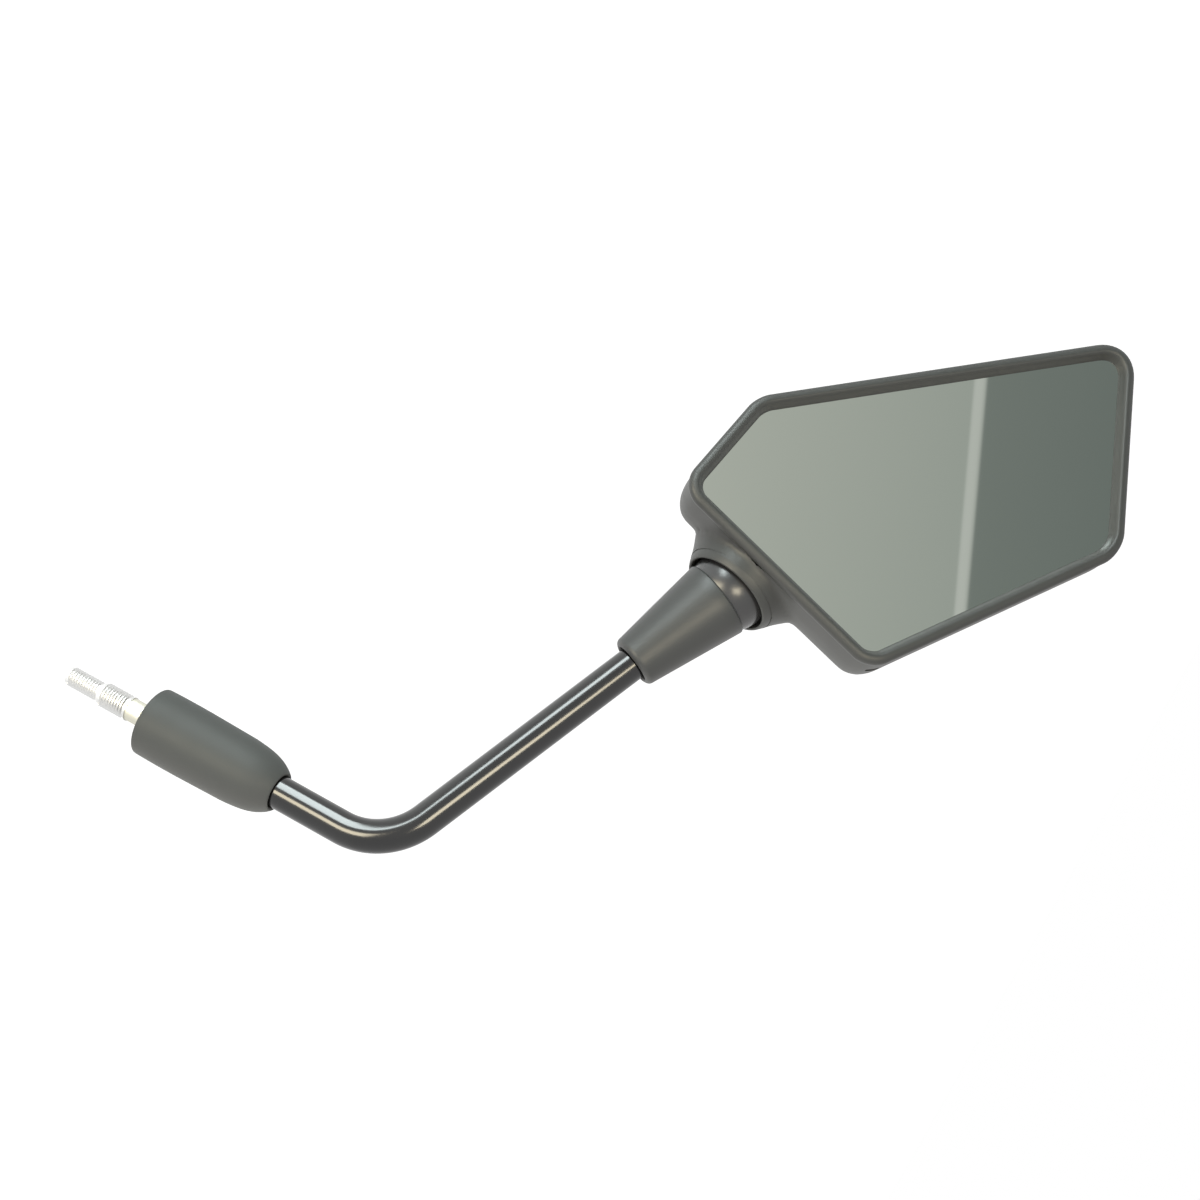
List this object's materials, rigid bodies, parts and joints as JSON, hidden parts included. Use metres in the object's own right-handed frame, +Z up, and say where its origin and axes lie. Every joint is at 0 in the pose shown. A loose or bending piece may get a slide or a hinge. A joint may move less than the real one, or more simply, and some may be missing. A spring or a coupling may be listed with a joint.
{
  "type": "motorcycle mirror",
  "caption": "Rear view mirror with a five-sided head on a sprung ball pivot, a bent round stay, a rubber boot and a threaded adapter.",
  "frame": {"origin": "centre of the shoulder at the upper end of the adapter's mounting thread", "axes": "+Z up along the mounting thread towards the stay, the stay bends towards -X, the glass looks towards -Y and a little up"},
  "size_m": [0.3336, 0.0805, 0.324],
  "materials": {
    "zinc_plate": "bright zinc plating on turned steel",
    "rod_black": "smooth gloss black coating",
    "nut_zinc": "dull zinc plating",
    "boot_rubber": "satin moulded black rubber",
    "cover_plastic": "satin moulded black plastic",
    "ball_steel": "polished steel",
    "seat_nylon": "natural nylon",
    "spring_steel": "oiled spring steel",
    "bracket_black": "gloss black coated casting",
    "screw_zinc": "bright zinc plating",
    "shell_plastic": "satin black plastic with a fine moulded grain",
    "plate_plastic": "plain moulded black plastic",
    "foam": "closed cell black foam",
    "silvered_glass": "flat silvered glass with a slight grey green tint"
  },
  "bodies": {
    "adapter": {"mount_adapter": "zinc_plate"},
    "stay": {"stay_rod": "rod_black", "pivot_ball": "ball_steel"},
    "lock_nut": {"lock_nut": "nut_zinc"},
    "boot": {"lower_boot": "boot_rubber"},
    "cover": {"joint_cover": "cover_plastic"},
    "cup": {"front_seat": "seat_nylon", "ball_cup": "seat_nylon", "pressure_washer": "screw_zinc"},
    "head": {"friction_spring": "spring_steel", "spring_disc": "screw_zinc", "retaining_ring": "spring_steel", "pivot_bracket": "bracket_black", "bracket_screw_1": "screw_zinc", "bracket_screw_2": "screw_zinc", "bracket_screw_3": "screw_zinc", "bracket_screw_4": "screw_zinc", "housing": "shell_plastic", "carrier_plate": "plate_plastic", "glass_pad": "foam", "mirror_glass": "silvered_glass"}
  },
  "joints": [
    {"name": "stay_turn", "type": "hinge", "parent": "adapter", "child": "stay", "pos_m": [0, 0, 0.02], "axis": [0, 0, 1], "range_deg": [-180, 180]},
    {"name": "nut_turn", "type": "hinge", "parent": "stay", "child": "lock_nut", "pos_m": [0, 0, 0.034], "axis": [0, 0, 1], "continuous": true},
    {"name": "boot_slide", "type": "slide", "parent": "stay", "child": "boot", "axis": [0, 0, 1], "range_m": [-0.008, 0.028]},
    {"name": "head_swivel", "type": "hinge", "parent": "stay", "child": "cover", "pos_m": [-0.15311, 0, 0.17677], "axis": [-0.9336, 0, 0.3584], "continuous": true},
    {"name": "head_tilt", "type": "hinge", "parent": "cover", "child": "cup", "pos_m": [-0.15311, 0, 0.17677], "axis": [-0.2327, -0.7604, -0.6063], "range_deg": [-33.5, 1.5]},
    {"name": "head_twist", "type": "hinge", "parent": "cup", "child": "head", "pos_m": [-0.15311, 0, 0.17677], "axis": [-0.9725, 0.179, 0.1488], "continuous": true}
  ]
}
